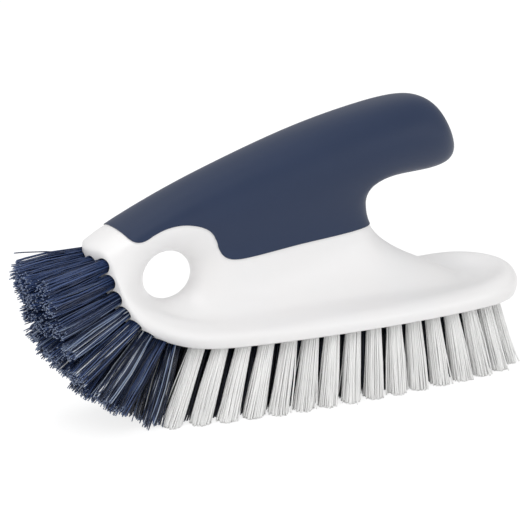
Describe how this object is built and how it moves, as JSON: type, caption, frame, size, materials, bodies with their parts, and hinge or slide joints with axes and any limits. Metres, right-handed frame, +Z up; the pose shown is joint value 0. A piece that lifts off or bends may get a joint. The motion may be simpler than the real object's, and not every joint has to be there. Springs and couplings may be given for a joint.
{
  "type": "dish brush",
  "caption": "Iron-shaped dish brush: white base with a hanging hole, soft navy handle over a finger gap, pale skirt bristles and dark bristles over the toe.",
  "frame": {"origin": "on the floor under the middle of the bounding box, where the bristle ends stand", "axes": "+X from the toe to the heel, +Y from the near side to the far side, +Z up from the bristle ends to the handle"},
  "size_m": [0.1795, 0.051, 0.0944],
  "materials": {
    "body_white": "satin gloss moulded plastic",
    "grip_navy": "soft satin overmoulded rubber",
    "bristle_white": "pale nylon-like strands",
    "bristle_navy": "dark navy nylon-like strands"
  },
  "bodies": {
    "root": {"body": "body_white", "grip": "grip_navy", "near_skirt_tufts": "bristle_white", "heel_tufts": "bristle_white", "far_skirt_tufts": "bristle_white", "base_tufts_01": "bristle_navy", "base_tufts_02": "bristle_navy", "base_tufts_03": "bristle_navy", "base_tufts_04": "bristle_navy", "base_tufts_05": "bristle_navy", "base_tufts_06": "bristle_navy", "base_tufts_07": "bristle_navy", "base_tufts_08": "bristle_navy", "base_tufts_09": "bristle_navy", "base_tufts_10": "bristle_navy", "base_tufts_11": "bristle_navy", "base_tufts_12": "bristle_navy", "base_tufts_13": "bristle_navy", "base_tufts_14": "bristle_navy", "toe_tufts_1": "bristle_navy", "toe_tufts_2": "bristle_navy", "toe_tufts_3": "bristle_navy", "toe_tufts_4": "bristle_navy", "toe_tufts_5": "bristle_navy", "toe_tufts_6": "bristle_navy", "toe_tufts_7": "bristle_navy", "toe_tufts_8": "bristle_navy"}
  },
  "joints": []
}
